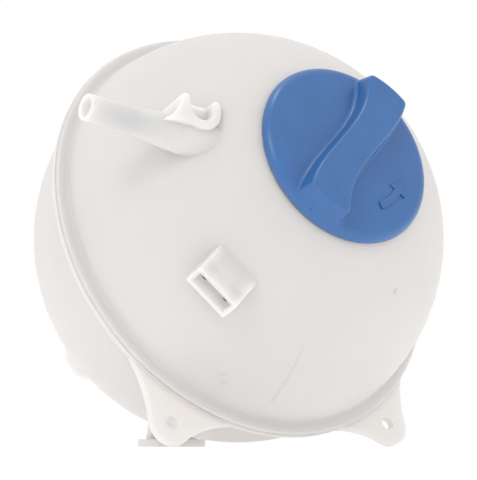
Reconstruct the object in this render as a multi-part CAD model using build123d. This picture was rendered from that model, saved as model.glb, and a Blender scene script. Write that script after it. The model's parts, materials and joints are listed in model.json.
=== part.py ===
"""Ball-shaped coolant expansion tank with a screw-in pressure cap, in millimetres.

The shells are drawn in the tank's own axes: origin at the ball's centre, Z out through the filler cap, Y up the
slope of the weld plane. The cap and its valves are drawn in the same axes from the neck's seat. One placement then
tips the tank back and sets it on its two ears and its rear foot, with the origin in the middle of the foot's sole,
+Z up and the cap facing -Y.
"""
import os
from math import cos, radians, sin, sqrt

from build123d import *

# Tank shells
BALL_RADIUS = 80.0
REAR_STEP = 1.0
WALL = 3.0
SEAM_HEIGHT = 2.2
FRONT_FLANGE = 2.2
REAR_FLANGE = 2.2
FLANGE_WIDTH = 4.5
FLANGE_ROUND = 0.8
FLANGE_ROOT_ROUND = 1.6
CAP_TILT = 23.5

# Filler neck, sunk into the front shell
THREAD_BORE = 26.0
THREAD_LENGTH = 19.5
SEAL_BORE_STEP = 2.0
NECK_LENGTH = 28.5
NECK_WALL = 3.0
SEAT_WALL = 3.0

# Mounting ears on the rear shell's flange
EAR_LEFT_X = 55.4
EAR_RIGHT_X = 47.6
EAR_HOLE_INSET = 5.6
EAR_HOLE_RADIUS = 2.5
EAR_END_RADIUS = 8.8
EAR_THICKNESS = 3.0
EAR_OUTER_SPREAD = 17.0
EAR_INNER_SPREAD = 17.0
EAR_HEEL_TURN = 45.0
EAR_DRAW_IN = 1.6

# Rear foot
FOOT_BACK = 43.5
FOOT_WIDTH = 26.0
FOOT_DEPTH = 15.0
FOOT_PLATE = 3.0
FOOT_CORNER = 4.0
FOOT_WEB = 3.0
FOOT_WEB_MARGIN = 1.0
FOOT_WEB_TOP = 15.0

# Hose nozzle on the rear pole
HOSE_RADIUS = 9.0
HOSE_WALL = 2.5
HOSE_REACH = 35.0
HOSE_ROOT_FLARE = 3.0

# Vent nozzle and hose clip on the front shell
VENT_ANGLE = 166.2
VENT_HEIGHT = 56.0
VENT_RADIUS = 5.1
VENT_WALL = 1.9
VENT_REACH = 46.6
VENT_GRIP = 19.0
VENT_ROOT_RADIUS = 7.4
VENT_ROOT_RUN = 4.9
CLIP_OUT = 0.9
CLIP_OFFSET = 8.0
CLIP_BORE = 4.8
CLIP_ARM = 3.8
CLIP_REACH = 3.0
CLIP_GUSSET = 7.0
CLIP_GUSSET_SAG = 1.6
CLIP_RISE = 9.5
CLIP_ROUND = 0.9

# Level-sensor socket on the front shell
SOCKET_ANGLE = -141.6
SOCKET_TOP = 53.7
SOCKET_HEIGHT = 9.8
SOCKET_WIDTH = 20.0
SOCKET_REACH = 16.3
SOCKET_DEPTH = 7.0
SOCKET_WALL = 1.8
SOCKET_ROUND = 0.9
SOCKET_FOOT_ROUND = 1.0
PIN_RADIUS = 1.4
PIN_SPACING = 11.0
PIN_SETBACK = 3.0
PIN_NECK_GAP = 6.5
PIN_CHAMFER = 0.45
PIN_SEAT = 0.05

# Cap
CAP_LAND = 10.6
CAP_OVERHANG = 0.7
CAP_RIM_GAP = 1.5
CAP_RIM_WALL = 2.0
CAP_RIM_CHANNEL = 2.0
CAP_EDGE = 4.0
CAP_CROWN = 1.2
CAP_ROOF_RISE = 1.6
GASKET_GAP = 0.2
GASKET_THICKNESS = 1.7
GASKET_MARGIN = 0.8
STEM_GAP = 2.6
STEM_WALL = 3.0
STEM_LENGTH = 18.9
STEM_SLOT_WIDTH = 4.0
STEM_SLOT_HEIGHT = 3.6
STEM_SLOT_DROP = 1.0
STEM_SLOTS = 4

# Grip bar across the cap
GRIP_ANGLE = 49.3
GRIP_HEIGHT = 8.0
GRIP_SINK = 1.2
GRIP_END_INSET = 3.4
GRIP_END_SLOPE = 1.4
GRIP_HALF_END = 9.4
GRIP_MIDDLE = 6.6
GRIP_WAIST = 5.2
GRIP_WAIST_AT = 18.0
GRIP_DRAFT = 1.7
GRIP_CORNER = 2.5
GRIP_ROUND = 1.6
GRIP_FOOT_ROUND = 1.5
GRIP_POCKET_WIDTH = 5.0
GRIP_POCKET_LENGTH = 34.0
GRIP_POCKET_ROUND = 2.0
GRIP_SKIN = 3.5

# Valve housing that hangs in the cap's stem
TURN_CLEARANCE = 0.08
HOUSING_WALL = 3.3
HOUSING_RISE = 13.5
HOUSING_DROP = 10.0
HOUSING_GAP = 0.3
HOUSING_BODY_GAP = 0.8
HOUSING_FLOOR = 2.5
BEAD_RISE = 10.1
BEAD_HEIGHT = 0.5
BEAD_WIDTH = 1.4
BEAD_CLEARANCE = 0.3
O_RING_SECTION = 1.3
O_RING_RISE = 3.7
O_RING_SIDE = 0.2
O_RING_BORE_GAP = 0.3
SEAT_LAND = 3.5
SEAT_LIP = 1.0
SEAT_LIP_WIDTH = 1.6

# Spring retainer in the housing's top
RETAINER_DEPTH = 4.0
RETAINER_THICKNESS = 2.0
RETAINER_STEP = 1.0
RETAINER_CLEARANCE = 0.1
RETAINER_LIP = 0.4
RETAINER_HUB_WALL = 1.2
RETAINER_HUB_DROP = 2.0
RETAINER_VENTS = 6
RETAINER_VENT_RADIUS = 2.4

# Pressure valve
PLATE_GAP = 4.0
PLATE_THICKNESS = 2.0
PRESSURE_SEAL_HEIGHT = 2.0
PRESSURE_SEAL_LAP = 1.0
GUIDE_RADIUS = 4.2
GUIDE_WALL = 1.0
GUIDE_RISE = 3.5
GUIDE_FLOOR = 1.2
GUIDE_CLEARANCE = 0.06
SPRING_INSET = 3.8
SPRING_WIRE = 0.9
SPRING_TURNS = 4.0
SPRING_SEAT = 0.05

# Vacuum valve inside the pressure valve
ROD_RADIUS = 1.3
ROD_CLEARANCE = 0.06
ROD_SETBACK = 0.9
BREATHER_RADIUS = 0.6
BREATHERS = 4
VACUUM_DISC_RADIUS = 5.6
VACUUM_DISC_THICKNESS = 1.5
VACUUM_SEAL_MARGIN = 0.6
VACUUM_SEAL_WIDTH = 1.7
VACUUM_SPRING_WIRE = 0.35
VACUUM_SPRING_TURNS = 6.0
VACUUM_CLIP_GAP = 0.3
VACUUM_CLIP_THICKNESS = 1.2
VACUUM_CLIP_DROP = 1.0
VACUUM_CLIP_GROOVE = 0.3


def across(radius: float, height: float) -> float:
    """Distance from the cap's axis to a ball of the given radius, at a height along that axis."""
    return sqrt(radius**2 - height**2)


# Radii and heights of the tank that follow from the sizes above
front_inner = BALL_RADIUS - WALL
rear_radius = BALL_RADIUS - REAR_STEP
rear_inner = rear_radius - WALL
flange_radius = BALL_RADIUS + FLANGE_WIDTH
flange_front = SEAM_HEIGHT + FRONT_FLANGE
flange_back = SEAM_HEIGHT - REAR_FLANGE
cap_radius = THREAD_BORE + CAP_LAND
seat_edge = cap_radius - CAP_OVERHANG
seat_height = across(BALL_RADIUS, seat_edge)
seal_bore = THREAD_BORE - SEAL_BORE_STEP
seal_step = seat_height - THREAD_LENGTH
neck_end = seat_height - NECK_LENGTH
bore_start = THREAD_BORE + 2 * NECK_WALL
ear_bottom = SEAM_HEIGHT - EAR_THICKNESS
ear_hole_y = EAR_HOLE_INSET - flange_radius
ear_hole_places = (-EAR_LEFT_X, EAR_RIGHT_X)
vent_bore = VENT_RADIUS - VENT_WALL
vent_foot = across(BALL_RADIUS, VENT_HEIGHT)
vent_end = vent_foot + VENT_REACH
clip_at = vent_foot + CLIP_OUT
socket_middle = SOCKET_TOP - SOCKET_HEIGHT / 2
socket_mouth = across(BALL_RADIUS, SOCKET_TOP) + SOCKET_REACH
slope = radians(CAP_TILT)
stand_height = (EAR_END_RADIUS - ear_hole_y) * cos(slope) - ear_bottom * sin(slope)

# Radii of the cap and its valves, and heights from the neck's seat
cap_shoulder = CAP_RIM_GAP + CAP_EDGE
cap_underside = GASKET_GAP + GASKET_THICKNESS
cap_roof = cap_underside + CAP_ROOF_RISE
gasket_inner = THREAD_BORE + GASKET_MARGIN
gasket_outer = cap_radius - CAP_RIM_WALL - CAP_RIM_CHANNEL - GASKET_MARGIN
stem_radius = THREAD_BORE - STEM_GAP
stem_bore = stem_radius - STEM_WALL
stem_end = cap_underside - STEM_LENGTH
grip_base = cap_shoulder - GRIP_SINK
grip_top = cap_shoulder + GRIP_HEIGHT
housing_radius = stem_bore - TURN_CLEARANCE
housing_bore = housing_radius - HOUSING_WALL
housing_top = stem_end + HOUSING_RISE
housing_end = stem_end - HOUSING_DROP
body_radius = seal_bore - HOUSING_BODY_GAP
bead_at = stem_end + BEAD_RISE
o_ring_at = housing_end + O_RING_RISE
o_ring_middle = seal_bore - O_RING_BORE_GAP - O_RING_SECTION
retainer_at = housing_top - RETAINER_DEPTH
retainer_top = retainer_at + RETAINER_THICKNESS
retainer_radius = housing_bore + RETAINER_STEP - RETAINER_CLEARANCE
plate_radius = housing_bore - PLATE_GAP
seat_opening = plate_radius - SEAT_LAND
floor_top = housing_end + HOUSING_FLOOR
lip_top = floor_top + SEAT_LIP
plate_bottom = lip_top + PRESSURE_SEAL_HEIGHT
plate_top = plate_bottom + PLATE_THICKNESS
guide_bore = GUIDE_RADIUS - GUIDE_WALL
guide_floor = plate_top + GUIDE_FLOOR
guide_end = retainer_top + GUIDE_RISE
hub_bore = GUIDE_RADIUS + GUIDE_CLEARANCE
rod_hole = ROD_RADIUS + ROD_CLEARANCE
rod_end = guide_end - ROD_SETBACK
rod_groove = ROD_RADIUS - VACUUM_CLIP_GROOVE
vacuum_clip_top = rod_end - VACUUM_CLIP_DROP
vacuum_clip_at = vacuum_clip_top - VACUUM_CLIP_THICKNESS
vacuum_seal_radius = VACUUM_DISC_RADIUS - VACUUM_SEAL_MARGIN
vacuum_seal_bore = vacuum_seal_radius - VACUUM_SEAL_WIDTH


def turned(*edges) -> Part:
    """Turns a closed outline, drawn as distance from the axis and height, about the cap's axis."""
    return revolve(Plane.XZ * make_face(edges), Axis.Z)


def dome(radius: float, first: float, last: float) -> Edge:
    """The arc of a ball's section from one height to another."""
    ends = [(across(radius, height), height) for height in (first, (first + last) / 2, last)]
    return ThreePointArc(*ends)


def ring(inner: float, outer: float, bottom: float, top: float) -> Part:
    """A plain ring about the cap's axis."""
    return turned(Polyline((inner, bottom), (outer, bottom), (outer, top), (inner, top), close=True))


def disc(radius: float, bottom: float, top: float) -> Part:
    """A plain disc about the cap's axis."""
    return Pos(0, 0, bottom) * Cylinder(radius, top - bottom, align=(Align.CENTER, Align.CENTER, Align.MIN))


def rim_at(part: Part, radius: float, height: float) -> Edge:
    """The round edge about the cap's axis that passes nearest a radius and height."""
    return part.edges().filter_by(GeomType.CIRCLE).sort_by_distance((0, radius, height))[0]


def side_tube(radius: float, start: float, end: float, height: float, end_radius: float = 0.0) -> Part:
    """A tube or cone that runs out along X at a height above the ball's centre."""
    face = Plane(origin=(start, 0, height), x_dir=(0, 1, 0), z_dir=(1, 0, 0))
    seat = (Align.CENTER, Align.CENTER, Align.MIN)
    if end_radius:
        return face * Cone(radius, end_radius, end - start, align=seat)
    return face * Cylinder(radius, end - start, align=seat)


def coil(radius: float, wire: float, turns: float, bottom: float, top: float) -> Part:
    """A compression spring between two seats."""
    low = bottom + wire + SPRING_SEAT
    rise = top - wire - SPRING_SEAT - low
    path = Helix(rise / turns, rise, radius)
    section = Plane(origin=path @ 0, z_dir=path % 0) * Circle(wire)
    return Pos(0, 0, low) * sweep(section, path, is_frenet=True)


def vent_nozzle() -> Part:
    """The side nozzle, straight for the hose and flared where it runs into the dome."""
    grip_start = vent_end - VENT_GRIP
    root_end = vent_foot + VENT_ROOT_RUN
    inside = across(front_inner, VENT_HEIGHT) - VENT_ROOT_RADIUS
    body = side_tube(VENT_RADIUS, grip_start, vent_end, VENT_HEIGHT)
    body += side_tube(VENT_ROOT_RADIUS, root_end, grip_start, VENT_HEIGHT, VENT_RADIUS)
    body += side_tube(VENT_ROOT_RADIUS, inside, root_end, VENT_HEIGHT)
    return body


def hose_clip() -> Part:
    """The U above the vent nozzle's root: two round-ended arms, the outer one on a hollow gusset."""
    outer = CLIP_BORE + CLIP_ARM
    near = clip_at - outer
    far = clip_at + outer
    tip = -CLIP_OFFSET - CLIP_REACH
    bowl = ThreePointArc((near, -CLIP_OFFSET), (clip_at, outer - CLIP_OFFSET), (far, -CLIP_OFFSET))
    arms = Polyline((far, -CLIP_OFFSET), (far, tip), (near, tip), (near, -CLIP_OFFSET))
    shape = make_face([bowl, arms])
    for side in (-1, 1):
        shape += Pos(clip_at + side * (CLIP_BORE + CLIP_ARM / 2), tip) * Circle(CLIP_ARM / 2)
    foot = Vector(far + CLIP_GUSSET, 0)
    shoulder = Vector(far, tip)
    half = (foot + shoulder) / 2
    hollow = half + (Vector(far, 0) - half).normalized() * CLIP_GUSSET_SAG
    sides = Polyline(shoulder, (clip_at, tip), (clip_at, 0), foot)
    shape += make_face([ThreePointArc(foot, hollow, shoulder), sides])
    bottom = VENT_HEIGHT - VENT_RADIUS
    clip = extrude(Pos(0, 0, bottom) * shape, VENT_HEIGHT + CLIP_RISE - bottom) - clip_trough()
    return fillet(clip.faces().sort_by(Axis.Z)[-1].edges(), CLIP_ROUND)


def clip_trough() -> Part:
    """The U between the clip's arms, open upwards and cut down to the vent nozzle's own wall."""
    reach = CLIP_REACH + CLIP_BORE
    shape = Circle(CLIP_BORE) + Pos(0, -reach / 2) * Rectangle(2 * CLIP_BORE, reach)
    return extrude(Pos(clip_at, -CLIP_OFFSET, VENT_HEIGHT + VENT_RADIUS) * shape, CLIP_RISE)


def socket_block() -> Part:
    """The sensor socket's outer block, long enough to reach into the dome's wall."""
    root = across(front_inner, SOCKET_TOP) - SOCKET_WALL
    seat = (Align.MIN, Align.CENTER, Align.CENTER)
    block = Pos(root, 0, socket_middle) * Box(socket_mouth - root, SOCKET_WIDTH, SOCKET_HEIGHT, align=seat)
    return fillet(block.edges().filter_by(Axis.X), SOCKET_ROUND)


def socket_cavity() -> Part:
    """The space that takes the sensor plug."""
    width = SOCKET_WIDTH - 2 * SOCKET_WALL
    height = SOCKET_HEIGHT - 2 * SOCKET_WALL
    return Pos(socket_mouth, 0, socket_middle) * Box(2 * SOCKET_DEPTH, width, height)


def beside_socket(side: int) -> Location:
    """Where one of the two sensor pins runs."""
    return Rot(0, 0, SOCKET_ANGLE) * Pos(0, side * PIN_SPACING / 2, 0)


def level_electrode(side: int) -> Part:
    """One sensor pin, from inside the tank to just short of the socket's mouth."""
    start = THREAD_BORE + NECK_WALL + PIN_NECK_GAP
    pin = side_tube(PIN_RADIUS, start, socket_mouth - PIN_SETBACK, socket_middle)
    return beside_socket(side) * chamfer(pin.edges().group_by(Axis.X)[-1], PIN_CHAMFER)


def upper_shell() -> Part:
    """Front half of the tank with the sunken neck, vent nozzle, clip, sensor socket and weld flange."""
    ledge = seat_height - SEAT_WALL
    neck = THREAD_BORE + NECK_WALL
    lower_neck = seal_bore + NECK_WALL
    root = across(BALL_RADIUS, flange_front)
    foot = across(front_inner, SEAM_HEIGHT)
    shell = turned(
        Polyline(
            (foot, SEAM_HEIGHT),
            (flange_radius, SEAM_HEIGHT),
            (flange_radius, flange_front),
            (root, flange_front),
        ),
        dome(BALL_RADIUS, flange_front, seat_height),
        Polyline(
            (seat_edge, seat_height),
            (THREAD_BORE, seat_height),
            (THREAD_BORE, seal_step),
            (seal_bore, seal_step - SEAL_BORE_STEP),
            (seal_bore, neck_end),
            (lower_neck, neck_end),
            (lower_neck, seal_step - SEAL_BORE_STEP),
            (neck, seal_step),
            (neck, ledge),
            (across(front_inner, ledge), ledge),
        ),
        dome(front_inner, ledge, SEAM_HEIGHT),
    )
    shell = fillet(rim_at(shell, flange_radius, flange_front), FLANGE_ROUND)
    shell = fillet(rim_at(shell, root, flange_front), FLANGE_ROOT_ROUND)
    vent_side = Rot(0, 0, VENT_ANGLE)
    socket_side = Rot(0, 0, SOCKET_ANGLE)
    socket = socket_side * socket_block() - Sphere(front_inner)
    socketed = shell + socket
    shell = fillet(new_edges(shell, socket, combined=socketed), SOCKET_FOOT_ROUND)
    shell += vent_side * (vent_nozzle() - clip_trough() + hose_clip()) - Sphere(front_inner)
    shell -= vent_side * side_tube(vent_bore, bore_start, vent_end, VENT_HEIGHT)
    shell -= socket_side * socket_cavity()
    for side in (-1, 1):
        bore = side_tube(PIN_RADIUS + PIN_SEAT, bore_start, socket_mouth, socket_middle)
        shell -= beside_socket(side) * bore
    return shell


def ear_outline(hole_x: float) -> Sketch:
    """An ear's outline in the weld plane: rounded end round the hole, sides drawn in to the flange."""
    side = 1 if hole_x > 0 else -1
    hole_turn = abs(Vector(hole_x, ear_hole_y).get_signed_angle(Vector(0, -1), Vector(0, 0, 1)))

    def on_ring(turn: float, radius: float) -> Vector:
        """A point round the cap's axis, at an angle from the line to the hole."""
        angle = radians(hole_turn + turn)
        return Vector(side * radius * sin(angle), -radius * cos(angle))

    edge = flange_radius - FLANGE_ROUND
    inside = rear_inner + WALL / 2
    outer_root = on_ring(EAR_OUTER_SPREAD, edge)
    inner_root = on_ring(-EAR_INNER_SPREAD, edge)
    heel_turn = radians(EAR_HEEL_TURN)
    shoulder = Vector(hole_x + side * EAR_END_RADIUS, ear_hole_y)
    tip = Vector(hole_x, ear_hole_y - EAR_END_RADIUS)
    heel_x = hole_x - side * EAR_END_RADIUS * sin(heel_turn)
    heel = Vector(heel_x, ear_hole_y - EAR_END_RADIUS * cos(heel_turn))
    outer_middle = (outer_root + shoulder) / 2 - Vector(side * EAR_DRAW_IN, 0)
    inner_middle = (heel + inner_root) / 2 + Vector(0, EAR_DRAW_IN)
    root = [on_ring(turn, inside) for turn in (-EAR_INNER_SPREAD, 0, EAR_OUTER_SPREAD)]
    return make_face(
        [
            ThreePointArc(outer_root, outer_middle, shoulder),
            RadiusArc(shoulder, tip, side * EAR_END_RADIUS),
            RadiusArc(tip, heel, side * EAR_END_RADIUS),
            ThreePointArc(heel, inner_middle, inner_root),
            Polyline(inner_root, *root, outer_root),
        ]
    )


def ear(hole_x: float) -> Part:
    """One mounting ear before the screw hole is cut."""
    return extrude(Pos(0, 0, ear_bottom) * ear_outline(hole_x), EAR_THICKNESS)


def rear_foot() -> Part:
    """The rear foot as it stands: a sole plate under two crossed webs that run up into the dome."""
    top = stand_height - across(rear_radius, FOOT_BACK + FOOT_DEPTH / 2) + WALL
    low = FOOT_WIDTH / 2 - FOOT_WEB_MARGIN
    high = FOOT_WEB_TOP / 2
    sole = extrude(RectangleRounded(FOOT_WIDTH, FOOT_DEPTH, FOOT_CORNER), FOOT_PLATE)
    side_web = make_face(Polyline((-low, 0), (low, 0), (high, top), (-high, top), close=True))
    webs = extrude(Plane.XZ * side_web, FOOT_WEB / 2, both=True)
    webs += Pos(0, 0, top / 2) * Box(FOOT_WEB, FOOT_DEPTH - 2 * FOOT_WEB_MARGIN, top)
    return sole + webs


def lower_shell() -> Part:
    """Rear half of the tank with its weld flange, ears, rear foot and polar hose nozzle."""
    hose_end = -rear_radius - HOSE_REACH
    flare = HOSE_RADIUS + HOSE_ROOT_FLARE
    flare_at = -across(rear_radius, flare)
    bore = HOSE_RADIUS - HOSE_WALL
    bore_top = -across(rear_inner, bore)
    shell = turned(
        Polyline(
            (across(rear_inner, SEAM_HEIGHT), SEAM_HEIGHT),
            (flange_radius, SEAM_HEIGHT),
            (flange_radius, flange_back),
            (across(rear_radius, flange_back), flange_back),
        ),
        dome(rear_radius, flange_back, flare_at),
        Polyline(
            (flare, flare_at),
            (HOSE_RADIUS, -rear_radius - HOSE_ROOT_FLARE),
            (HOSE_RADIUS, hose_end),
            (bore, hose_end),
            (bore, bore_top),
        ),
        dome(rear_inner, bore_top, SEAM_HEIGHT),
    )
    shell = fillet(rim_at(shell, flange_radius, flange_back), FLANGE_ROUND)
    for hole_x in ear_hole_places:
        shell += ear(hole_x)
    for hole_x in ear_hole_places:
        shell -= Pos(hole_x, ear_hole_y, 0) * disc(EAR_HOLE_RADIUS, ear_bottom - WALL, SEAM_HEIGHT + WALL)
    foot = stand.inverse() * rear_foot()
    return shell + (foot - Sphere(rear_inner))


def grip_outline(end_radius: float, grow: float, height: float) -> Sketch:
    """The grip bar's outline at one height: each side waisted near one end, the ends along the rim."""
    half = GRIP_HALF_END + grow
    middle = GRIP_MIDDLE + grow
    waist = GRIP_WAIST + grow
    end = across(end_radius, half)
    left = Spline((-end, half), (0, middle), (GRIP_WAIST_AT, waist), (end, half))
    right = Spline((end, -half), (0, -middle), (-GRIP_WAIST_AT, -waist), (-end, -half))
    far = ThreePointArc((end, half), (end_radius, 0), (end, -half))
    near = ThreePointArc((-end, -half), (-end_radius, 0), (-end, half))
    return Pos(0, 0, height) * make_face([left, far, right, near])


def grip() -> Part:
    """The bar that a hand turns, drawn in towards its top and rounded at its corners and upper edges."""
    end_top = cap_radius - GRIP_END_INSET
    low = grip_outline(end_top + GRIP_END_SLOPE, GRIP_DRAFT, grip_base)
    high = grip_outline(end_top, 0.0, grip_top)
    bar = loft([low, high])
    corners = bar.edges().filter_by_position(Axis.Z, grip_base, grip_top, inclusive=(False, False))
    bar = fillet(corners, GRIP_CORNER)
    return Rot(0, 0, GRIP_ANGLE) * fillet(bar.faces().sort_by(Axis.Z)[-1].edges(), GRIP_ROUND)


def grip_pocket() -> Part:
    """The hollow that keeps the grip's wall even, open towards the stem."""
    shape = RectangleRounded(GRIP_POCKET_LENGTH, GRIP_POCKET_WIDTH, GRIP_POCKET_ROUND)
    return extrude(Pos(0, 0, cap_underside) * shape, grip_top - GRIP_SKIN - cap_underside)


def cap_body() -> Part:
    """The screw-in cap: crowned disc with a rolled rim, grip bar and hollow slotted stem."""
    edge = cap_radius - CAP_EDGE
    rim_inner = cap_radius - CAP_RIM_WALL
    channel = rim_inner - CAP_RIM_CHANNEL
    top = cap_shoulder + CAP_CROWN
    groove = housing_radius + BEAD_HEIGHT + BEAD_CLEARANCE
    groove_low = bead_at - BEAD_CLEARANCE
    groove_high = bead_at + BEAD_WIDTH + BEAD_CLEARANCE
    crown = TangentArc((0, top), (edge, cap_shoulder), tangent=(1, 0))
    cap = turned(
        Polyline(
            (0, top),
            (0, cap_roof),
            (stem_bore, cap_roof),
            (stem_bore, groove_high),
            (groove, groove_high),
            (groove, groove_low),
            (stem_bore, groove_low),
            (stem_bore, stem_end),
            (stem_radius, stem_end),
            (stem_radius, cap_underside),
            (channel, cap_underside),
            (channel, cap_roof),
            (rim_inner, cap_roof),
            (rim_inner, CAP_RIM_GAP),
            (cap_radius, CAP_RIM_GAP),
        ),
        TangentArc((edge, cap_shoulder), (cap_radius, CAP_RIM_GAP), tangent=crown % 1),
        crown,
    )
    bar = grip()
    gripped = cap + bar
    cap = fillet(new_edges(cap, bar, combined=gripped), GRIP_FOOT_ROUND)
    cap -= Rot(0, 0, GRIP_ANGLE) * grip_pocket()
    slot_middle = cap_underside - STEM_SLOT_DROP - STEM_SLOT_HEIGHT / 2
    slot = Box(2 * STEM_WALL, STEM_SLOT_WIDTH, STEM_SLOT_HEIGHT)
    slot = Pos(stem_bore + STEM_WALL / 2, 0, slot_middle) * slot
    for turn in range(STEM_SLOTS):
        cap -= Rot(0, 0, turn * 360 / STEM_SLOTS) * slot
    return cap


def valve_housing() -> Part:
    """The cup that hangs in the stem by its snap bead and carries the O-ring and both valves."""
    groove = o_ring_middle - O_RING_SECTION - O_RING_SIDE
    groove_low = o_ring_at - O_RING_SECTION - O_RING_SIDE
    groove_high = o_ring_at + O_RING_SECTION + O_RING_SIDE
    lip_outer = seat_opening + SEAT_LIP_WIDTH
    shoulder = stem_end - HOUSING_GAP
    counterbore = housing_bore + RETAINER_STEP
    catch = retainer_top + RETAINER_CLEARANCE
    return turned(
        Polyline(
            (seat_opening, housing_end),
            (body_radius, housing_end),
            (body_radius, groove_low),
            (groove, groove_low),
            (groove, groove_high),
            (body_radius, groove_high),
            (body_radius, shoulder),
            (housing_radius, shoulder),
            (housing_radius, bead_at),
            (housing_radius + BEAD_HEIGHT, bead_at),
            (housing_radius, bead_at + BEAD_WIDTH),
            (housing_radius, housing_top),
            (counterbore, housing_top),
            (counterbore - RETAINER_LIP, catch + RETAINER_LIP),
            (counterbore - RETAINER_LIP, catch),
            (counterbore, catch),
            (counterbore, retainer_at),
            (housing_bore, retainer_at),
            (housing_bore, floor_top),
            (lip_outer, floor_top),
            (lip_outer, lip_top),
            (seat_opening, lip_top),
            close=True,
        )
    )


def spring_retainer() -> Part:
    """Vented disc that holds the pressure spring down and guides the valve."""
    hub = hub_bore + RETAINER_HUB_WALL
    body = ring(hub_bore, retainer_radius, retainer_at, retainer_top)
    body += ring(hub_bore, hub, retainer_at - RETAINER_HUB_DROP, retainer_top)
    vent = Pos((hub + retainer_radius) / 2, 0, 0) * disc(RETAINER_VENT_RADIUS, retainer_at, retainer_top)
    for turn in range(RETAINER_VENTS):
        body -= Rot(0, 0, turn * 360 / RETAINER_VENTS) * vent
    return body


def pressure_valve_plate() -> Part:
    """Valve plate with its guide tube, rod hole and breather holes."""
    plate = turned(
        Polyline(
            (rod_hole, plate_bottom),
            (plate_radius, plate_bottom),
            (plate_radius, plate_top),
            (GUIDE_RADIUS, plate_top),
            (GUIDE_RADIUS, guide_end),
            (guide_bore, guide_end),
            (guide_bore, guide_floor),
            (rod_hole, guide_floor),
            close=True,
        )
    )
    breather = Pos((rod_hole + guide_bore) / 2, 0, 0) * disc(BREATHER_RADIUS, plate_bottom, guide_floor)
    for turn in range(BREATHERS):
        plate -= Rot(0, 0, turn * 360 / BREATHERS) * breather
    return plate


def vacuum_valve_plunger() -> Part:
    """Small disc under the pressure plate, on a rod that runs up through its guide tube."""
    return turned(
        Polyline(
            (0, lip_top - VACUUM_DISC_THICKNESS),
            (VACUUM_DISC_RADIUS, lip_top - VACUUM_DISC_THICKNESS),
            (VACUUM_DISC_RADIUS, lip_top),
            (ROD_RADIUS, lip_top),
            (ROD_RADIUS, vacuum_clip_at),
            (rod_groove, vacuum_clip_at),
            (rod_groove, vacuum_clip_top),
            (ROD_RADIUS, vacuum_clip_top),
            (ROD_RADIUS, rod_end),
            (0, rod_end),
            close=True,
        )
    )


stand = Pos(0, -FOOT_BACK, stand_height) * Rot(90 - CAP_TILT, 0, 0)
seat = Pos(0, 0, seat_height)
vacuum_spring_radius = (rod_hole + guide_bore) / 2

tank_pieces = {
    "upper_shell": upper_shell(),
    "lower_shell": lower_shell(),
    "level_electrode_left": level_electrode(-1),
    "level_electrode_right": level_electrode(1),
}

cap_pieces = {
    "cap_body": cap_body(),
    "cap_gasket": ring(gasket_inner, gasket_outer, cap_underside - GASKET_THICKNESS, cap_underside),
    "valve_housing": valve_housing(),
    "housing_o_ring": Pos(0, 0, o_ring_at) * Torus(o_ring_middle, O_RING_SECTION),
    "spring_retainer": spring_retainer(),
    "pressure_valve_plate": pressure_valve_plate(),
    "pressure_valve_seal": ring(seat_opening - PRESSURE_SEAL_LAP, plate_radius, lip_top, plate_bottom),
    "pressure_spring": coil(plate_radius - SPRING_INSET, SPRING_WIRE, SPRING_TURNS, plate_top, retainer_at),
    "vacuum_valve_plunger": vacuum_valve_plunger(),
    "vacuum_valve_seal": ring(vacuum_seal_bore, vacuum_seal_radius, lip_top, plate_bottom),
    "vacuum_spring": coil(
        vacuum_spring_radius, VACUUM_SPRING_WIRE, VACUUM_SPRING_TURNS, guide_floor, vacuum_clip_at
    ),
    "vacuum_spring_clip": ring(rod_groove, guide_bore - VACUUM_CLIP_GAP, vacuum_clip_at, vacuum_clip_top),
}

os.makedirs("parts", exist_ok=True)
for place, pieces in ((stand, tank_pieces), (stand * seat, cap_pieces)):
    for name, piece in pieces.items():
        placed = place * piece
        placed.label = name
        export_step(placed, f"parts/{name}.step")
        print(name, round(placed.volume, 1))
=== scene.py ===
"""Looks of a coolant expansion tank: its plastics, rubber and steel, its small forms and its studio."""

import json
import logging
import math
from dataclasses import dataclass
from enum import Enum
from typing import Any

import bpy
from mathutils import Matrix, Vector


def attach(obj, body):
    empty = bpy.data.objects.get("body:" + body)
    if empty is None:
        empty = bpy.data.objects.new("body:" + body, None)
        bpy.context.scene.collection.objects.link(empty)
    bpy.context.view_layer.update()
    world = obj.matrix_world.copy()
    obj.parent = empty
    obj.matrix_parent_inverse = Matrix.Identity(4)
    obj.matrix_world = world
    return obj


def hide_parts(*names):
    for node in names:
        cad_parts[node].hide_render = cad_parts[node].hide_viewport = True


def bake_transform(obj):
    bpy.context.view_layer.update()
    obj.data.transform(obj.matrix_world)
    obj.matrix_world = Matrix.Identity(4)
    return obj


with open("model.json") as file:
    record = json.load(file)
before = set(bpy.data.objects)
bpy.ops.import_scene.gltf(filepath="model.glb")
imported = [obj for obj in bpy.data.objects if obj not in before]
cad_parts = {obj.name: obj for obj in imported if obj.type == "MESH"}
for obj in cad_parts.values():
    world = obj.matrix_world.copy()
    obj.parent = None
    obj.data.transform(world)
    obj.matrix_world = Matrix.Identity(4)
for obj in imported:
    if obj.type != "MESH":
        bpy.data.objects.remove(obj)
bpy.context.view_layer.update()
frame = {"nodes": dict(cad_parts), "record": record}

LOG = logging.getLogger("expansion_tank")
MM = 0.001
FULL_TURN = 2 * math.pi
# Turns a flat primitive upright, so that a section can be wound round the Z axis.
UPRIGHT = (math.pi / 2, 0.0, 0.0)
ORIGIN = (0.0, 0.0, 0.0)
SMOOTH_ANGLE = math.radians(40.0)
MERGE_DISTANCE = 0.01 * MM
PLANE_CORNERS = 4
WHITE = "FFFFFF"

Triple = tuple[float, float, float]


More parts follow.
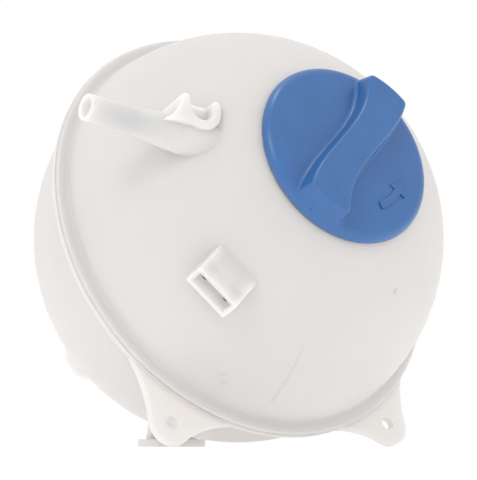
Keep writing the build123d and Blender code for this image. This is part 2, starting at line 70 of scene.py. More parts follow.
def linear(hex_code: str) -> tuple[float, float, float, float]:
    """Turns an sRGB hex colour into linear red, green, blue and alpha.

    Args:
        hex_code: six hex digits.

    Returns:
        The linear colour, fully opaque.
    """
    shares = [int(hex_code[at:at + 2], 16) / 255 for at in (0, 2, 4)]
    red, green, blue = [s / 12.92 if s <= 0.04045 else ((s + 0.055) / 1.055) ** 2.4 for s in shares]
    return red, green, blue, 1.0


def scale_of(size_mm: float) -> float:
    """The texture scale, on coordinates in metres, whose pattern repeats at about this size."""
    return 1.0 / (size_mm * MM)


def add_node(
    tree: bpy.types.NodeTree,
    kind: str,
    settings: dict[str | int, Any] | None = None,
    links: dict[str | int, bpy.types.NodeSocket] | None = None,
) -> bpy.types.Node:
    """Adds a node to a tree with its settings and links.

    Args:
        tree: the node tree.
        kind: the node's type name.
        settings: values by the name or number of an input socket or the name of a property.
        links: source sockets by the name or number of the input socket that they feed.

    Returns:
        The new node.
    """
    node = tree.nodes.new(kind)
    for name, value in (settings or {}).items():
        if isinstance(name, int) or name in node.inputs:
            node.inputs[name].default_value = value
        else:
            setattr(node, name, value)
    for name, source in (links or {}).items():
        tree.links.new(source, node.inputs[name])
    return node


def start_material(name: str) -> tuple[bpy.types.Material, bpy.types.Node, bpy.types.NodeSocket]:
    """Starts a material on a piece's own coordinates.

    Args:
        name: what the material is called.

    Returns:
        The material, its shader and the socket that gives the Object coordinates.
    """
    material = bpy.data.materials.new(name)
    material.use_nodes = True
    shader = material.node_tree.nodes["Principled BSDF"]
    place = add_node(material.node_tree, "ShaderNodeTexCoord").outputs["Object"]
    return material, shader, place


def deselect() -> None:
    """Leaves nothing selected, so that the next operator touches only its own piece."""
    bpy.ops.object.select_all(action="DESELECT")


def pick(piece: bpy.types.Object) -> None:
    """Leaves one piece selected and active.

    Args:
        piece: the piece.
    """
    deselect()
    piece.select_set(True)
    bpy.context.view_layer.objects.active = piece


def edit_all() -> None:
    """Opens the active piece in edit mode with all of it selected."""
    bpy.ops.object.mode_set(mode="EDIT")
    bpy.ops.mesh.select_all(action="SELECT")


def leave_edit() -> None:
    """Closes edit mode."""
    bpy.ops.object.mode_set(mode="OBJECT")


def close_ends(sides: int) -> None:
    """Closes the open ends of the active piece.

    Args:
        sides: how many edges each end has.
    """
    edit_all()
    bpy.ops.mesh.fill_holes(sides=sides)
    leave_edit()


def apply_modifiers(piece: bpy.types.Object) -> None:
    """Applies every modifier of a piece in order.

    Args:
        piece: the piece.
    """
    pick(piece)
    for name in [modifier.name for modifier in piece.modifiers]:
        bpy.ops.object.modifier_apply(modifier=name)


def wind(piece: bpy.types.Object, turns: float, rise: float, steps_per_turn: int) -> None:
    """Winds a section round the Z axis as a right-handed screw.

    Args:
        piece: the closed section, drawn beside the axis.
        turns: how often it goes round.
        rise: how far it climbs on the whole, in metres.
        steps_per_turn: how finely it is divided.
    """
    winding = piece.modifiers.new("winding", "SCREW")
    winding.axis = "Z"
    winding.angle = turns * FULL_TURN
    winding.screw_offset = rise
    winding.steps = round(turns * steps_per_turn)
    winding.render_steps = winding.steps
    apply_modifiers(piece)


class Slot(Enum):
    """The record's material slots."""

    TANK = "tank_plastic"
    CAP = "cap_plastic"
    VALVE = "valve_plastic"
    RUBBER = "seal_rubber"
    SPRING = "spring_steel"
    ELECTRODE = "electrode_steel"


class Body(Enum):
    """The bodies of the part that added pieces move with."""

    TANK = "tank"
    CAP = "cap"
    CARTRIDGE = "cartridge"
    PRESSURE_VALVE = "pressure_valve"
    VACUUM_VALVE = "vacuum_valve"


@dataclass(frozen=True)
class TankAxes:
    """The tank's axes in the shared frame: the ball's centre and the ways across, up the slope and out."""

    centre: Vector
    across: Vector
    slope: Vector
    out: Vector

    @classmethod
    def from_frame(cls) -> "TankAxes":
        """Reads the axes from the cap's turning joint, which is placed at the ball's centre.

        Returns:
            The axes, out along the joint's axis.
        """
        joint = next(j for j in frame["record"]["behaviour"]["joints"] if j["name"] == "cap_turn")
        out = Vector(joint["axis"]).normalized()
        across = Vector((1.0, 0.0, 0.0))
        return cls(Vector(joint["pos_m"]), across, out.cross(across), out)

    def matrix(self) -> Matrix:
        """The placement of something that is drawn in the tank's own axes."""
        turn = Matrix((self.across, self.slope, self.out)).transposed()
        return Matrix.Translation(self.centre) @ turn.to_4x4()

    def facing(self, spot_mm: Triple, way: Triple) -> Matrix:
        """The placement of something that is drawn flat about the origin, its X axis level.

        Args:
            spot_mm: where its origin goes, in the tank's own axes.
            way: the direction that it faces, in the tank's own axes.

        Returns:
            The placement in the shared frame.
        """
        normal = (self.matrix().to_3x3() @ Vector(way)).normalized()
        level = Vector((0.0, 0.0, 1.0)).cross(normal).normalized()
        turn = Matrix((level, normal.cross(level), normal)).transposed()
        return Matrix.Translation(self.matrix() @ (Vector(spot_mm) * MM)) @ turn.to_4x4()


@dataclass(frozen=True)
class Mottle:
    """A soft pattern that mixes two close shades: its size, and the heights between which it mixes them."""

    size_mm: float
    detail: float
    mix_from: float = 0.3
    mix_to: float = 0.7

    def height(self, tree: bpy.types.NodeTree, place: bpy.types.NodeSocket) -> bpy.types.NodeSocket:
        """Draws the pattern.

        Args:
            tree: the material's node tree.
            place: the Object coordinates.

        Returns:
            The pattern's height, from 0 to 1.
        """
        settings = {"Scale": scale_of(self.size_mm), "Detail": self.detail}
        return add_node(tree, "ShaderNodeTexNoise", settings, {"Vector": place}).outputs["Fac"]

    def shade(
        self, tree: bpy.types.NodeTree, height: bpy.types.NodeSocket, dark: str, light: str
    ) -> bpy.types.NodeSocket:
        """Mixes two shades by the pattern.

        Args:
            tree: the material's node tree.
            height: the pattern's height.
            dark: the low places' sRGB hex colour.
            light: the high places' sRGB hex colour.

        Returns:
            The mixed colour.
        """
        mix = {"From Min": self.mix_from, "From Max": self.mix_to}
        share = add_node(tree, "ShaderNodeMapRange", mix, {"Value": height})
        shades = {"Color1": linear(dark), "Color2": linear(light)}
        return add_node(tree, "ShaderNodeMixRGB", shades, {"Fac": share.outputs["Result"]}).outputs["Color"]


@dataclass(frozen=True)
class Grain:
    """The fine grain of a moulded skin: its size, and how deep it is."""

    # The grain is drawn coarser than the real one, about 0.2 mm, so that it shows at this size.
    size_mm: float
    depth_mm: float
    detail: float = 2.0

    def normal(self, tree: bpy.types.NodeTree, place: bpy.types.NodeSocket) -> bpy.types.NodeSocket:
        """Draws the grain as a bump.

        Args:
            tree: the material's node tree.
            place: the Object coordinates.

        Returns:
            The bumped normal.
        """
        settings = {"Scale": scale_of(self.size_mm), "Detail": self.detail}
        grain = add_node(tree, "ShaderNodeTexNoise", settings, {"Vector": place})
        depth = {"Distance": self.depth_mm * MM}
        return add_node(tree, "ShaderNodeBump", depth, {"Height": grain.outputs["Fac"]}).outputs["Normal"]


@dataclass(frozen=True, kw_only=True)
class MilkyPolypropylene:
    """Natural polypropylene, injection moulded: milky, satin, faintly cloudy, with light in its walls.

    The walls that stand out of the ball take in more light than the ball does: most of all the thin spouts
    and the socket on its front, less the rim, the ears and the foot. They are also painted lighter than the
    ball: painted light that stands in for the light through their thin walls.
    """

    axes: TankAxes
    name: str = "milky_polypropylene"
    light: str = "DBD7D4"
    dark: str = "D7D3D0"
    # Painted light: the spouts, the socket, the rim, the ears and the foot are painted lighter than the
    # ball, standing in for the light that passes through their thin walls; the rim, the ears and the foot
    # are the lightest.
    spout_painted_light: str = "DAD7D5"
    rim_painted_light: str = "DEDAD7"
    mottle: Mottle = Mottle(46.0, detail=3.0)
    grain: Grain = Grain(1.1, depth_mm=0.012)
    roughness: float = 0.48
    ior: float = 1.49
    shine: float = 0.2
    # The share of light that soaks in, on the ball, in the spouts and in the rim, and how far it spreads.
    soaks_up_light: bool = True
    glow: float = 0.4
    spout_glow: float = 1.0
    rim_glow: float = 0.45
    glow_reach_mm: float = 12.0
    glow_tint: Triple = (1.0, 0.97, 0.93)
    # Distances from the ball's centre between which a wall comes to stand out of the ball.
    stands_from_mm: float = 80.3
    stands_to_mm: float = 82.5
    # Distances along the cap's axis, from the ball's centre, between which the front begins.
    front_from_mm: float = 6.0
    front_to_mm: float = 12.0

    def material(self) -> bpy.types.Material:
        """Builds the material: cloudy body colour, painted light on the walls that stand out, light in them
        and a moulded grain.

        Returns:
            The finished material.
        """
        material, shader, place = start_material(self.name)
        tree = material.node_tree
        body = self.mottle.shade(tree, self.mottle.height(tree, place), self.dark, self.light)
        stands, front = self.find_walls(tree, place)
        # Painted light: the walls that stand out of the ball take lighter painted shades in place of the
        # ball's colour, the rim, ears and foot lightest.
        shades = {"Color1": linear(self.rim_painted_light), "Color2": linear(self.spout_painted_light)}
        painted_wall_light = add_node(tree, "ShaderNodeMixRGB", shades, {"Fac": front})
        body_with_painted_light = add_node(
            tree, "ShaderNodeMixRGB", links={"Fac": stands, "Color1": body, "Color2": painted_wall_light.outputs["Color"]}
        )
        tree.links.new(body_with_painted_light.outputs["Color"], shader.inputs["Base Color"])
        tree.links.new(self.grain.normal(tree, place), shader.inputs["Normal"])
        shader.inputs["Roughness"].default_value = self.roughness
        shader.inputs["IOR"].default_value = self.ior
        shader.inputs["Specular IOR Level"].default_value = self.shine
        if self.soaks_up_light:
            self.add_glow(tree, shader, stands, front)
        return material

    def find_walls(
        self, tree: bpy.types.NodeTree, place: bpy.types.NodeSocket
    ) -> tuple[bpy.types.NodeSocket, bpy.types.NodeSocket]:
        """Finds the walls that stand out of the ball, and which of them are on the cap's side of it.

        Args:
            tree: the material's node tree.
            place: the Object coordinates.

        Returns:
            How far a spot stands out of the ball and how far it is to the ball's front, each from 0 to 1.
        """
        minus_centre = {"operation": "SUBTRACT", 1: self.axes.centre}
        spoke = add_node(tree, "ShaderNodeVectorMath", minus_centre, {0: place}).outputs["Vector"]
        reach = add_node(tree, "ShaderNodeVectorMath", {"operation": "LENGTH"}, {0: spoke})
        along_cap_axis = {"operation": "DOT_PRODUCT", 1: self.axes.out}
        rise = add_node(tree, "ShaderNodeVectorMath", along_cap_axis, {0: spoke})
        stands = add_node(
            tree,
            "ShaderNodeMapRange",
            {"From Min": self.stands_from_mm * MM, "From Max": self.stands_to_mm * MM},
            {"Value": reach.outputs["Value"]},
        )
        front = add_node(
            tree,
            "ShaderNodeMapRange",
            {"From Min": self.front_from_mm * MM, "From Max": self.front_to_mm * MM},
            {"Value": rise.outputs["Value"]},
        )
        return stands.outputs["Result"], front.outputs["Result"]

    def add_glow(
        self,
        tree: bpy.types.NodeTree,
        shader: bpy.types.Node,
        stands: bpy.types.NodeSocket,
        front: bpy.types.NodeSocket,
    ) -> None:
        """Lets light into the plastic, each wall by its own share.

        Args:
            tree: the material's node tree.
            shader: the material's shader.
            stands: how far a spot stands out of the ball, from 0 to 1.
            front: how far it is to the ball's front, from 0 to 1.
        """
        glows = {"To Min": self.rim_glow, "To Max": self.spout_glow}
        wall_glow = add_node(tree, "ShaderNodeMapRange", glows, {"Value": front})
        glow = add_node(
            tree,
            "ShaderNodeMapRange",
            {"To Min": self.glow},
            {"Value": stands, "To Max": wall_glow.outputs["Result"]},
        )
        tree.links.new(glow.outputs["Result"], shader.inputs["Subsurface Weight"])
        shader.inputs["Subsurface Radius"].default_value = self.glow_tint
        shader.inputs["Subsurface Scale"].default_value = self.glow_reach_mm * MM


@dataclass(frozen=True, kw_only=True)
class MouldedPlastic:
    """Pigmented plastic or rubber, moulded: even colour, a fine grain and soft highlights."""

    name: str
    light: str
    dark: str
    roughness: float
    gloss_spread: float = 0.05
    mottle: Mottle = Mottle(14.0, detail=4.0)
    grain: Grain = Grain(0.7, depth_mm=0.02)
    ior: float = 1.5
    shine: float = 0.5

    def material(self) -> bpy.types.Material:
        """Builds the material: slightly uneven pigment, uneven gloss and a fine moulded grain.

        Returns:
            The finished material.
        """
        material, shader, place = start_material(self.name)
        tree = material.node_tree
        height = self.mottle.height(tree, place)
        spread = self.gloss_spread
        glosses = {"To Min": self.roughness - spread, "To Max": self.roughness + spread}
        gloss = add_node(tree, "ShaderNodeMapRange", glosses, {"Value": height})
        tree.links.new(self.mottle.shade(tree, height, self.dark, self.light), shader.inputs["Base Color"])
        tree.links.new(self.grain.normal(tree, place), shader.inputs["Normal"])
        tree.links.new(gloss.outputs["Result"], shader.inputs["Roughness"])
        shader.inputs["IOR"].default_value = self.ior
        shader.inputs["Specular IOR Level"].default_value = self.shine
        return material


@dataclass(frozen=True, kw_only=True)
class DrawnSteel:
    """Steel wire or rod, drawn through a die: fine marks of the die and a soft metallic shine."""

    name: str
    light: str = "C9C8C6"
    dark: str = "9B9A98"
    roughness: float = 0.32
    gloss_spread: float = 0.08
    # The die's marks are drawn coarser than the real ones, about 0.05 mm, so that they show at this size.
    marks: Mottle = Mottle(0.25, detail=3.0, mix_from=0.35, mix_to=0.65)

    def material(self) -> bpy.types.Material:
        """Builds the material: marked colour and gloss on a metal.

        Returns:
            The finished material.
        """
        material, shader, place = start_material(self.name)
        tree = material.node_tree
        height = self.marks.height(tree, place)
        spread = self.gloss_spread
        glosses = {"To Min": self.roughness - spread, "To Max": self.roughness + spread}
        gloss = add_node(tree, "ShaderNodeMapRange", glosses, {"Value": height})
        tree.links.new(self.marks.shade(tree, height, self.dark, self.light), shader.inputs["Base Color"])
        tree.links.new(gloss.outputs["Result"], shader.inputs["Roughness"])
        shader.inputs["Metallic"].default_value = 1.0
        return material


def build_materials(axes: TankAxes) -> dict[Slot, bpy.types.Material]:
    """Builds the finish of each of the record's material slots.

    Args:
        axes: the tank's own axes.

    Returns:
        The built materials by slot.
    """
    finishes: dict[Slot, MilkyPolypropylene | MouldedPlastic | DrawnSteel] = {
        # Natural polypropylene: milky white, satin, with edges that the light soaking into it softens.
        Slot.TANK: MilkyPolypropylene(axes=axes),
        # Blue polypropylene: even deep colour, soft highlights along the rolled rim and the grip's edges.
        Slot.CAP: MouldedPlastic(
            name="blue_polypropylene", light="2763A3", dark="235D9A", roughness=0.34, shine=0.75
        ),
        # Black acetal: nearly black, slightly waxy, with broad dim highlights.
        Slot.VALVE: MouldedPlastic(name="black_acetal", light="2A2B2D", dark="1C1D1F", roughness=0.4),
        # Seal rubber: matt black that shows almost no highlight.
        Slot.RUBBER: MouldedPlastic(name="seal_rubber", light="1B1B1B", dark="121212", roughness=0.75),
        # Spring wire: bright grey metal with small glints along the coils.
        Slot.SPRING: DrawnSteel(name="spring_wire"),
        # Electrode rod: darker tarnished steel, two dark dots in the pale socket.
        Slot.ELECTRODE: DrawnSteel(name="electrode_rod", light="8C8780", dark="5F5B55"),
    }
    return {slot: finish.material() for slot, finish in finishes.items()}


@dataclass(kw_only=True)
class AddedPiece:
    """A piece that only the looks need: it is drawn here, moves with a body and wears a slot's finish.

    The sizes of these pieces are in millimetres and degrees, in the tank's own axes.
    """

    axes: TankAxes
    name: str
    body: Body
    slot: Slot
    material: bpy.types.Material

    def build(self) -> bpy.types.Object:
        """Draws the piece in its place, which each kind of piece does in its own way."""
        raise NotImplementedError

    def settle(self, piece: bpy.types.Object, placement: Matrix) -> None:
        """Puts a drawn piece in its place in the shared frame, and that place in its mesh.

        Args:
            piece: the drawn piece.
            placement: its place in the shared frame.
        """
        pick(piece)
        piece.matrix_world = placement
        bpy.ops.object.transform_apply(location=True, rotation=True, scale=True)

    def dress(self, piece: bpy.types.Object) -> None:
        """Names a piece, gives it smooth faces that look outwards and its finish, and fixes it to its body.

        Args:
            piece: the piece in its place.
        """
        pick(piece)
        edit_all()
        bpy.ops.mesh.normals_make_consistent(inside=False)
        leave_edit()
        bpy.ops.object.shade_smooth_by_angle(angle=SMOOTH_ANGLE)
        piece.name = self.name
        piece.data.materials.clear()
        piece.data.materials.append(self.material)
        self.fix(piece)
        LOG.info("%s: %d faces on %s", self.name, len(piece.data.polygons), self.body.value)

    def fix(self, piece: bpy.types.Object) -> None:
        """Fixes a piece to its body."""
        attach(piece, self.body.value)


@dataclass(kw_only=True)
class ScrewThread(AddedPiece):
    """A right-handed thread ridge round the cap's axis, on the cap's stem or in the neck's bore."""

    root_radius: float
    crest_radius: float
    start: float
    turns: float
    lead: float = 6.0
    root_width: float = 2.2
    crest_width: float = 1.2
    steps_per_turn: int = 72

    def build(self) -> bpy.types.Object:
        """Draws the ridge's section, winds it round the axis and closes its ends.

        Returns:
            The thread in its place.
        """
        deselect()
        bpy.ops.mesh.primitive_plane_add(size=1.0, rotation=UPRIGHT)
        piece = bpy.context.object
        bpy.ops.object.transform_apply(location=False, rotation=True, scale=False)
        root, crest = self.root_radius * MM, self.crest_radius * MM
        edit_all()
        bpy.ops.mesh.delete(type="ONLY_FACE")
        bpy.ops.mesh.select_all(action="SELECT")
        bpy.ops.transform.resize(value=(crest - root, 1.0, self.root_width * MM), center_override=ORIGIN)
        bpy.ops.transform.translate(value=((crest + root) / 2, 0.0, self.start * MM))
        leave_edit()
        for vertex in piece.data.vertices:
            vertex.select = abs(vertex.co.x - crest) < abs(vertex.co.x - root)
        bpy.ops.object.mode_set(mode="EDIT")
        pinch = self.crest_width / self.root_width
        bpy.ops.transform.resize(value=(1.0, 1.0, pinch), center_override=(0.0, 0.0, self.start * MM))
        leave_edit()
        wind(piece, self.turns, self.turns * self.lead * MM, self.steps_per_turn)
        close_ends(PLANE_CORNERS)
        self.settle(piece, self.axes.matrix())
        return piece


@dataclass(kw_only=True)
class CoilSpring(AddedPiece):
    """A round-wire spring that stands for its CAD node."""

    node: str
    far_body: Body
    wire_radius: float
    turns: float
    steps_per_turn: int = 40
    sides: int = 12

    def measure(self) -> tuple[float, float, float]:
        """Measures the CAD node along and about the cap's axis.

        Returns:
            Its lower end, its upper end and its outer radius, in metres.
        """
        node = frame["nodes"][self.node]
        inwards = self.axes.matrix().inverted() @ node.matrix_world
        spots = [inwards @ vertex.co for vertex in node.data.vertices]
        heights = [spot.z for spot in spots]
        return min(heights), max(heights), max(spot.xy.length for spot in spots)

    def build(self) -> bpy.types.Object:
        """Winds a round wire between the ends of the CAD node.

        Returns:
            The spring in its place.
        """
        low, high, outer_radius = self.measure()
        wire = self.wire_radius * MM
        deselect()
        start = (outer_radius - wire, 0.0, low + wire)
        bpy.ops.mesh.primitive_circle_add(
            vertices=self.sides, radius=wire, location=start, rotation=UPRIGHT
        )
        piece = bpy.context.object
        bpy.ops.object.transform_apply(location=True, rotation=True, scale=True)
        wind(piece, self.turns, high - low - 2 * wire, self.steps_per_turn)
        close_ends(self.sides)
        self.settle(piece, self.axes.matrix())
        return piece

    def fix(self, piece: bpy.types.Object) -> None:
        """Bakes the spring's place into its mesh and hides its CAD node, so that the spring stands for it.

        Args:
            piece: the spring in its place.
        """
        low, high, _ = self.measure()
        near, far = (self.axes.matrix() @ Vector((0.0, 0.0, height)) for height in (low, high))
        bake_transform(piece)
        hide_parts(self.node)


@dataclass(kw_only=True)
class WeldBead(AddedPiece):
    """The thin bead of melted plastic that the weld squeezed out along the seam of the two flanges."""

    radius: float = 84.5
    section_radius: float = 0.35
    stretch: float = 1.5
    unevenness: float = 0.05
    outward_share: float = 0.5
    height: float = 2.2
    segments: int = 256
    sides: int = 10
    seed: int = 4

    def build(self) -> bpy.types.Object:
        """Draws the bead as a ring at the seam, taller than wide and slightly uneven.

        Returns:
            The bead in its place.
        """
        deselect()
        bpy.ops.mesh.primitive_torus_add(
            major_radius=self.radius * MM,
            minor_radius=self.section_radius * MM,
            major_segments=self.segments,
            minor_segments=self.sides,
        )
        piece = bpy.context.object
        edit_all()
        bpy.ops.transform.resize(value=(1.0, 1.0, self.stretch), center_override=ORIGIN)
        bpy.ops.transform.vertex_random(
            offset=self.unevenness * MM, normal=self.outward_share, seed=self.seed
        )
        bpy.ops.transform.translate(value=(0.0, 0.0, self.height * MM))
        leave_edit()
        self.settle(piece, self.axes.matrix())
        return piece


@dataclass(frozen=True)
class LevelMark:
    """One short mark on the ball, in millimetres: its middle in the tank's own axes, and its length."""

    spot: Triple
    length: float


@dataclass(kw_only=True)
class LevelMarks(AddedPiece):
    """The two short raised level marks low on the front of the ball."""

    marks: tuple[LevelMark, ...] = (
        LevelMark((-39.5, -67.0, 18.6), 3.6),
        LevelMark((-37.5, -68.9, 15.5), 2.8),
    )
    width: float = 0.9
    rise: float = 0.25
    edge: float = 0.15
    edge_steps: int = 3

    def build(self) -> bpy.types.Object:
        """Draws each mark as a small rounded bar on the ball and joins them.

        Returns:
            The marks in their places.
        """
        bars = []
        for mark in self.marks:
            deselect()
            bpy.ops.mesh.primitive_cube_add(size=1.0)
            bar = bpy.context.object
            size = (mark.length * MM, self.width * MM, 2 * self.rise * MM)
            edit_all()
            bpy.ops.transform.resize(value=size, center_override=ORIGIN)
            bpy.ops.mesh.bevel(offset=self.edge * MM, segments=self.edge_steps, affect="EDGES")
            leave_edit()
            self.settle(bar, self.axes.facing(mark.spot, mark.spot))
            bars.append(bar)
        deselect()
        for bar in bars:
            bar.select_set(True)
        bpy.context.view_layer.objects.active = bars[0]
        bpy.ops.object.join()
        return bpy.context.object


@dataclass(kw_only=True)
class MouldPip(AddedPiece):
    """The small round pip that a mould's gate leaves on a moulding: where it sits and which way it faces."""

    spot: Triple
    way: Triple
    radius: float = 1.0
    rise: float = 0.4
    edge: float = 0.3
    edge_steps: int = 3
    sides: int = 40

    def build(self) -> bpy.types.Object:
        """Draws the pip as a low rounded disc on its moulding.

        Returns:
            The pip in its place.
        """
        deselect()
        bpy.ops.mesh.primitive_cylinder_add(
            vertices=self.sides, radius=self.radius * MM, depth=2 * self.rise * MM
        )
        piece = bpy.context.object
        edit_all()
        bpy.ops.mesh.bevel(offset=self.edge * MM, segments=self.edge_steps, affect="EDGES")
        leave_edit()
        self.settle(piece, self.axes.facing(self.spot, self.way))
        return piece


@dataclass(kw_only=True)
class MouldLine(AddedPiece):
    """The faint raised line that a joint in the mould leaves down the ball, in a plane beside its middle."""

    ball_radius: float = 80.0
    plane_x: float = -17.6
    section_radius: float = 0.16
    first_angle: float = 147.5
    last_angle: float = 168.5
    steps: int = 40
    sides: int = 8

    def build(self) -> bpy.types.Object:
        """Spins a small round section along the ball and closes its ends.

        Returns:
            The line in its place.
        """
        ring = math.sqrt(self.ball_radius**2 - self.plane_x**2) * MM
        start = math.radians(self.first_angle)
        sweep = math.radians(self.last_angle - self.first_angle)
        deselect()
        bpy.ops.mesh.primitive_circle_add(
            vertices=self.sides, radius=self.section_radius * MM, location=(self.plane_x * MM, ring, 0.0)
        )
        piece = bpy.context.object
        bpy.ops.object.transform_apply(location=True, rotation=True, scale=True)
        edit_all()
        bpy.ops.transform.rotate(value=-start, orient_axis="X", center_override=ORIGIN)
        bpy.ops.mesh.spin(steps=self.steps, angle=-sweep, center=ORIGIN, axis=(1.0, 0.0, 0.0))
        leave_edit()
        close_ends(self.sides)
        self.settle(piece, self.axes.matrix())
        return piece


@dataclass(kw_only=True)
class TurnArrow(AddedPiece):
    """A plain raised arrow on the cap's crown that shows the way the cap turns open."""

    radius: float = 24.0
    width: float = 3.0
    head_width: float = 7.6
    head_length: float = 6.4
    first_angle: float = -72.0
    last_angle: float = -44.0
    crown_height: float = 77.54
    rise: float = 0.55
    edge: float = 0.4
    edge_steps: int = 2
    steps: int = 16

    def build(self) -> bpy.types.Object:
        """Spins a short edge into the arrow's shaft, draws out its head, thickens it and softens its edges.

        Returns:
            The arrow in its place.
        """
        sweep = math.radians(self.last_angle - self.first_angle)
        deselect()
        bpy.ops.mesh.primitive_plane_add(size=self.width * MM)
        piece = bpy.context.object
        edit_all()
        bpy.ops.transform.resize(value=(1.0, 0.0, 1.0), center_override=ORIGIN)
        bpy.ops.mesh.remove_doubles(threshold=MERGE_DISTANCE)
        bpy.ops.transform.translate(value=(self.radius * MM, 0.0, self.crown_height * MM))
        bpy.ops.mesh.spin(steps=self.steps, angle=-sweep, center=ORIGIN, axis=(0.0, 0.0, 1.0))
        self.draw_head(sweep)
        bpy.ops.mesh.select_all(action="SELECT")
        bpy.ops.mesh.remove_doubles(threshold=MERGE_DISTANCE)
        start = math.radians(self.first_angle)
        bpy.ops.transform.rotate(value=-start, orient_axis="Z", center_override=ORIGIN)
        leave_edit()
        body = piece.modifiers.new("body", "SOLIDIFY")
        body.thickness = 2 * self.rise * MM
        body.offset = 0.0
        soften = piece.modifiers.new("soften", "BEVEL")
        soften.width = self.edge * MM
        soften.segments = self.edge_steps
        soften.limit_method = "ANGLE"
        apply_modifiers(piece)
        self.settle(piece, self.axes.matrix())
        return piece

    def draw_head(self, sweep: float) -> None:
        """Widens the selected end of the shaft and draws it out to a point.

        Args:
            sweep: the angle from the shaft's start to its end.
        """
        end = Vector((math.cos(sweep), math.sin(sweep), 0.0)) * self.radius * MM
        end.z = self.crown_height * MM
        way = Vector((-math.sin(sweep), math.cos(sweep), 0.0)) * self.head_length * MM
        bpy.ops.mesh.extrude_region_move()
        spread = self.head_width / self.width
        bpy.ops.transform.resize(value=(spread, spread, 1.0), center_override=end)
        bpy.ops.mesh.extrude_region_move(TRANSFORM_OT_translate={"value": way})
        bpy.ops.transform.resize(value=(0.0, 0.0, 1.0), center_override=end + way)


def list_added_pieces(axes: TankAxes, materials: dict[Slot, bpy.types.Material]) -> list[AddedPiece]:
    """Lists the pieces that only the looks need: threads, springs, weld bead, marks, pips, line and arrow.

    Args:
        axes: the tank's own axes.
        materials: the built materials by slot.

    Returns:
        The pieces in the order in which they are built.
    """
    # The tank's plastic in beads and marks too small for light to soak into: the eye sees only their relief.
    trim = MilkyPolypropylene(axes=axes, name="milky_polypropylene_trim", soaks_up_light=False).material()
    tank: dict[str, Any] = {"axes": axes, "body": Body.TANK, "slot": Slot.TANK, "material": trim}
    cap: dict[str, Any] = {"axes": axes, "body": Body.CAP, "slot": Slot.CAP, "material": materials[Slot.CAP]}
    valve: dict[str, Any] = {
        "axes": axes, "body": Body.PRESSURE_VALVE, "slot": Slot.SPRING, "material": materials[Slot.SPRING]
    }
    tank_gate = (19.5, -49.9, 59.4)
    cap_gate = (-25.1, -24.6, 75.9)
    cap_gate_way = (-0.486, -0.463, 0.742)
    return [
        ScrewThread(name="cap_thread", root_radius=23.1, crest_radius=25.2, start=56.0, turns=1.9, **cap),
        ScrewThread(name="neck_thread", root_radius=26.3, crest_radius=24.4, start=53.0, turns=2.8, **tank),
        CoilSpring(
            name="pressure_coil",
            node="pressure_spring",
            far_body=Body.CARTRIDGE,
            wire_radius=0.78,
            turns=4.0,
            **valve,
        ),
        CoilSpring(
            name="vacuum_coil",
            node="vacuum_spring",
            far_body=Body.VACUUM_VALVE,
            wire_radius=0.35,
            turns=6.0,
            **valve,
        ),
        WeldBead(name="weld_bead", **tank),
        LevelMarks(name="level_marks", **tank),
        MouldPip(name="mould_pip", spot=tank_gate, way=tank_gate, **tank),
        MouldPip(name="cap_pip", spot=cap_gate, way=cap_gate_way, radius=0.5, rise=0.2, edge=0.15, **cap),
        MouldLine(name="mould_line", **tank),
        TurnArrow(name="turn_arrow", **cap),
    ]


def dress_nodes(materials: dict[Slot, bpy.types.Material]) -> None:
    """Gives every CAD node the finish of its slot.

    Args:
        materials: the built materials by slot.
    """
    for subpart in frame["record"]["subparts"]:
        node = frame["nodes"][subpart["node"]]
        for slot in node.material_slots:
            slot.material = materials[Slot(subpart["material_slot"])]
        LOG.info("node %s dressed as %s", subpart["node"], subpart["material_slot"])


@dataclass(frozen=True)
class SoftLight:
    """A round soft light: its place from the ball's centre and width in metres, and its power in watts."""

    name: str
    offset: Triple
    size: float
    power: float

    def build(self, centre: Vector) -> None:
        """Builds the light so that it looks at the ball.

        Args:
            centre: the ball's centre.
        """
        deselect()
        place = centre + Vector(self.offset)
        bpy.ops.object.light_add(type="AREA", location=place)
        light = bpy.context.object
        light.name = self.name
        light.data.shape = "DISK"
        light.data.size = self.size
        light.data.energy = self.power
        light.rotation_euler = (centre - place).to_track_quat("-Z", "Y").to_euler()


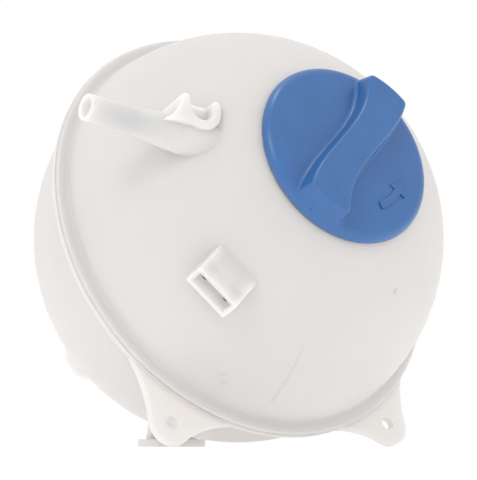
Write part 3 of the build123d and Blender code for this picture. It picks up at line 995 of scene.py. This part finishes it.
@dataclass
class Studio:
    """White floor, white surroundings, soft lights and the camera at the photograph's place.

    Angles are in degrees, and lengths in metres unless their names say otherwise.
    """

    axes: TankAxes
    azimuth: float = -36.62
    elevation: float = -2.35
    distance: float = 1.92
    lens_mm: float = 373.2
    sensor_mm: float = 36.0
    aim_right_mm: float = 0.4
    aim_up_mm: float = -0.45
    floor_size: float = 12.0
    floor_colour: str = "CCCCCC"
    floor_roughness: float = 0.9
    floor_glow: float = 0.58
    surround_strength: float = 1.0
    lights: tuple[SoftLight, ...] = (
        SoftLight("key_light", (-1.0, -0.45, 0.85), size=0.35, power=2.0),
        SoftLight("top_light", (-0.13, 0.2, 1.25), size=0.16, power=1.4),
    )

    def build(self) -> None:
        """Builds the floor, the surroundings, the lights and the camera."""
        self.build_floor()
        self.build_surround()
        for light in self.lights:
            light.build(self.axes.centre)
        self.build_camera()

    def build_floor(self) -> None:
        """A wide pale floor whose own glow keeps the shadows on it faint."""
        deselect()
        bpy.ops.mesh.primitive_plane_add(size=self.floor_size, location=ORIGIN)
        floor = bpy.context.object
        floor.name = "studio_floor"
        material = bpy.data.materials.new("studio_floor")
        material.use_nodes = True
        shader = material.node_tree.nodes["Principled BSDF"]
        shader.inputs["Base Color"].default_value = linear(self.floor_colour)
        shader.inputs["Roughness"].default_value = self.floor_roughness
        shader.inputs["Emission Color"].default_value = linear(WHITE)
        shader.inputs["Emission Strength"].default_value = self.floor_glow
        floor.data.materials.append(material)

    def build_surround(self) -> None:
        """Even white light from all round, shown with plain colours."""
        world = bpy.data.worlds.new("studio_surround")
        world.use_nodes = True
        background = world.node_tree.nodes["Background"]
        background.inputs["Color"].default_value = linear(WHITE)
        background.inputs["Strength"].default_value = self.surround_strength
        bpy.context.scene.world = world
        bpy.context.scene.view_settings.view_transform = "Standard"

    def build_camera(self) -> None:
        """A long lens just above the floor, looking slightly up at the ball's centre."""
        turn = math.radians(self.azimuth)
        rise = math.radians(self.elevation)
        back = Vector((math.sin(turn) * math.cos(rise), -math.cos(turn) * math.cos(rise), math.sin(rise)))
        right = Vector((math.cos(turn), math.sin(turn), 0.0))
        aim = self.axes.centre + right * self.aim_right_mm * MM + Vector((0.0, 0.0, self.aim_up_mm * MM))
        deselect()
        bpy.ops.object.camera_add(location=aim + back * self.distance)
        camera = bpy.context.object
        camera.data.lens = self.lens_mm
        camera.data.sensor_fit = "HORIZONTAL"
        camera.data.sensor_width = self.sensor_mm
        camera.rotation_euler = (-back).to_track_quat("-Z", "Y").to_euler()
        bpy.context.scene.camera = camera


def main() -> None:
    """Builds the finishes, the added pieces and the studio in order."""
    logging.basicConfig(level=logging.INFO, format="%(name)s: %(message)s")
    axes = TankAxes.from_frame()
    materials = build_materials(axes)
    dress_nodes(materials)
    for added in list_added_pieces(axes, materials):
        added.dress(added.build())
    Studio(axes).build()


if __name__ == "__main__":
    main()
